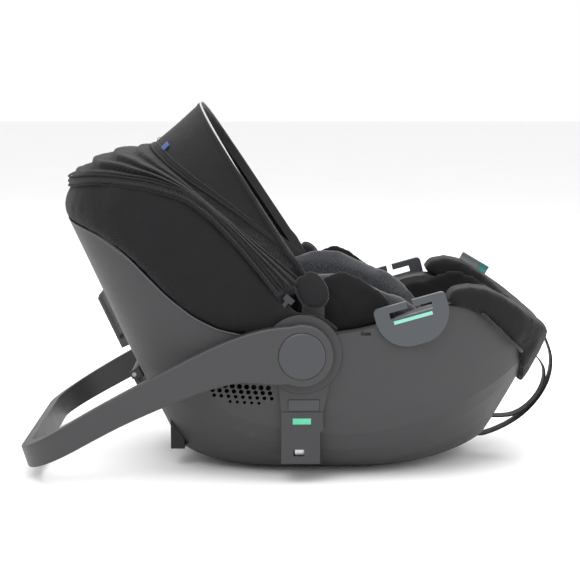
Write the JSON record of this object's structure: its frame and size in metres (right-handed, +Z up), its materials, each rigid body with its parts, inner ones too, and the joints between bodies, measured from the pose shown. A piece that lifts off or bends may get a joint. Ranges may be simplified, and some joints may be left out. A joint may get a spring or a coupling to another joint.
{
  "type": "infant car seat",
  "caption": "Rocker-bottomed infant carrier seat with swinging carry handle, folding canopy, harness, belt guides and padded liners.",
  "frame": {"origin": "middle of the flat rest zone under the rocker, on the surface it stands on", "axes": "+X towards the foot end, +Y to the right-hand side, +Z up"},
  "size_m": [0.7362, 0.448, 0.4972],
  "materials": {
    "shell_plastic": "fine matte grain, charcoal",
    "handle_plastic": "fine matte grain, charcoal",
    "button_plastic": "smooth satin, charcoal",
    "guide_plastic": "satin blue-grey",
    "mint_plastic": "satin mint",
    "lens": "clear green window",
    "foam": "beaded foam",
    "cover_fabric": "near-black woven cloth",
    "canopy_fabric": "black taffeta",
    "gather_mesh": "gathered black mesh",
    "melange_fabric": "grey melange jersey",
    "pad_fabric": "black padded cloth",
    "webbing": "ribbed black webbing",
    "tab_fabric": "woven grey tab",
    "metal": "zinc plated steel",
    "zip_metal": "blackened metal",
    "nylon": "natural nylon",
    "buckle_plastic": "smooth black",
    "red_plastic": "smooth red",
    "rubber": "black rubber"
  },
  "bodies": {
    "seat": {"outer_shell": "shell_plastic", "foam_liner": "foam", "head_cover": "cover_fabric", "front_cover": "cover_fabric", "seat_cover": "cover_fabric", "side_wing_left": "cover_fabric", "side_wing_right": "cover_fabric", "infant_insert": "melange_fabric", "headrest_pad": "melange_fabric", "shoulder_strap_left": "webbing", "shoulder_strap_right": "webbing", "shoulder_pad_left": "pad_fabric", "shoulder_pad_right": "pad_fabric", "crotch_pad": "pad_fabric", "belt_guide_left": "guide_plastic", "belt_guide_right": "guide_plastic", "guide_marker_left": "mint_plastic", "guide_marker_right": "mint_plastic", "hub_plate_left": "nylon", "hub_plate_right": "nylon", "hub_screws": "metal", "button_spring_left": "metal", "button_spring_right": "metal", "adapter_socket_left": "shell_plastic", "adapter_socket_right": "shell_plastic", "adapter_cap_left": "button_plastic", "adapter_cap_right": "button_plastic", "indicator_lens_left": "lens", "indicator_lens_right": "lens", "rear_feet": "rubber", "rear_belt_hook": "guide_plastic", "lever_bracket": "shell_plastic", "lever_pin": "metal", "canopy_rear_cloth": "gather_mesh", "canopy_bracket_left": "shell_plastic", "canopy_bracket_right": "shell_plastic", "canopy_pins": "metal", "buckle_housing": "buckle_plastic", "buckle_tongue_left": "metal", "buckle_tongue_right": "metal", "adjuster_housing": "buckle_plastic", "zip_slider": "zip_metal", "label_tab": "tab_fabric", "adjuster_webbing_outer": "webbing", "adjuster_webbing_inner": "webbing"},
    "handle": {"handle_outer_casing": "handle_plastic", "handle_inner_casing": "handle_plastic"},
    "button_left": {"release_button_left": "button_plastic", "lock_gear_left": "nylon"},
    "button_right": {"release_button_right": "button_plastic", "lock_gear_right": "nylon"},
    "canopy": {"canopy_front_bow": "nylon", "canopy_middle_bow": "nylon", "canopy_front_cloth": "canopy_fabric"},
    "latch_left": {"latch_left": "metal"},
    "latch_right": {"latch_right": "metal"},
    "lever": {"release_lever": "button_plastic"},
    "buckle_key": {"buckle_button": "red_plastic"},
    "adjuster_key": {"adjuster_button": "button_plastic"}
  },
  "joints": [
    {"name": "handle_swing", "type": "hinge", "parent": "seat", "child": "handle", "pos_m": [0.014, 0, 0.174], "axis": [0, 1, 0], "range_deg": [0, 109]},
    {"name": "button_left_press", "type": "slide", "parent": "handle", "child": "button_left", "axis": [0, 1, 0], "range_m": [0, 0.0045], "stiffness_N_per_m": 900, "deforming": ["button_spring_left"]},
    {"name": "button_right_press", "type": "slide", "parent": "handle", "child": "button_right", "axis": [0, -1, 0], "range_m": [0, 0.0045], "stiffness_N_per_m": 900, "deforming": ["button_spring_right"]},
    {"name": "canopy_swing", "type": "hinge", "parent": "seat", "child": "canopy", "pos_m": [0.029, 0, 0.251], "axis": [0, 1, 0], "range_deg": [-2, 72], "deforming": ["canopy_rear_cloth"]},
    {"name": "lever_pull", "type": "hinge", "parent": "seat", "child": "lever", "pos_m": [-0.21742, 0, 0.12132], "axis": [0, 1, 0], "range_deg": [0, 20], "stiffness_Nm_per_rad": 1.5},
    {"name": "latch_left_retract", "type": "slide", "parent": "seat", "child": "latch_left", "axis": [0, 1, 0], "range_m": [0, 0.0025]},
    {"name": "latch_right_retract", "type": "slide", "parent": "seat", "child": "latch_right", "axis": [0, -1, 0], "range_m": [0, 0.0025]},
    {"name": "buckle_press", "type": "slide", "parent": "seat", "child": "buckle_key", "axis": [0, 0, -1], "range_m": [0, 0.003], "stiffness_N_per_m": 1200},
    {"name": "adjuster_press", "type": "slide", "parent": "seat", "child": "adjuster_key", "axis": [0.5151, 0, -0.8571], "range_m": [0, 0.003], "stiffness_N_per_m": 900}
  ],
  "couplings": [
    {"joint": "latch_left_retract", "follows": "lever_pull", "m_per_rad": 0.007},
    {"joint": "latch_right_retract", "follows": "lever_pull", "m_per_rad": 0.007}
  ]
}
